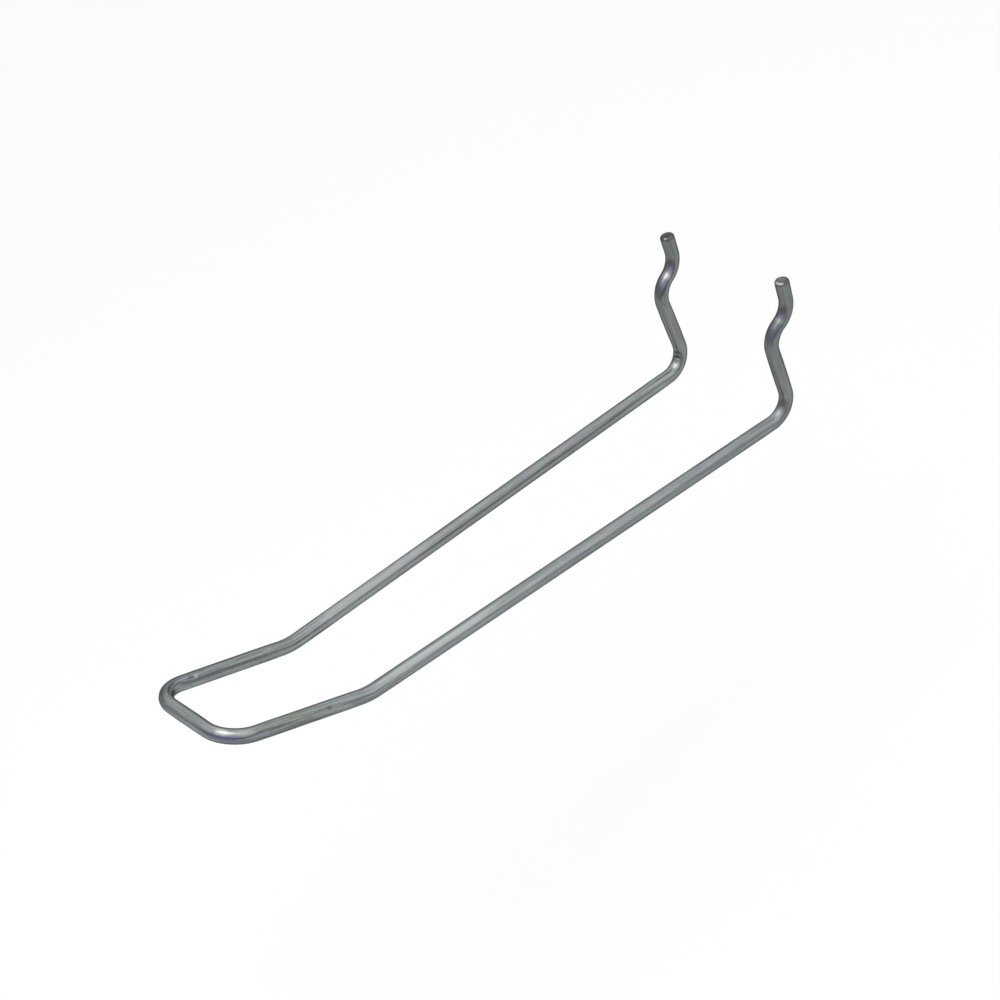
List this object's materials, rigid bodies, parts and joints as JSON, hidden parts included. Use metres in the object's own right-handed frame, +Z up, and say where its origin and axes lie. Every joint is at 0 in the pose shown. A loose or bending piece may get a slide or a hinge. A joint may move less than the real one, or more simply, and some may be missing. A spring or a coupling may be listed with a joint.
{
  "type": "pegboard hook",
  "caption": "Bent round-wire pegboard loop hook: offset prongs enter the board holes, tapering arms run forward, lift into a lip and join over a rounded front bar to carry tools.",
  "frame": {"origin": "on the front face of the board, midway between the two board holes, at the height of their centres", "axes": "+Z up the board, +Y into the board, -Y to the front bar, X along the row of holes"},
  "size_m": [0.057, 0.2308, 0.054],
  "materials": {
    "zinc_wire": "bright zinc plate over drawn steel wire, clear blue passivated, satin with fine drawing lines"
  },
  "bodies": {
    "root": {"hook_wire": "zinc_wire"}
  },
  "joints": []
}
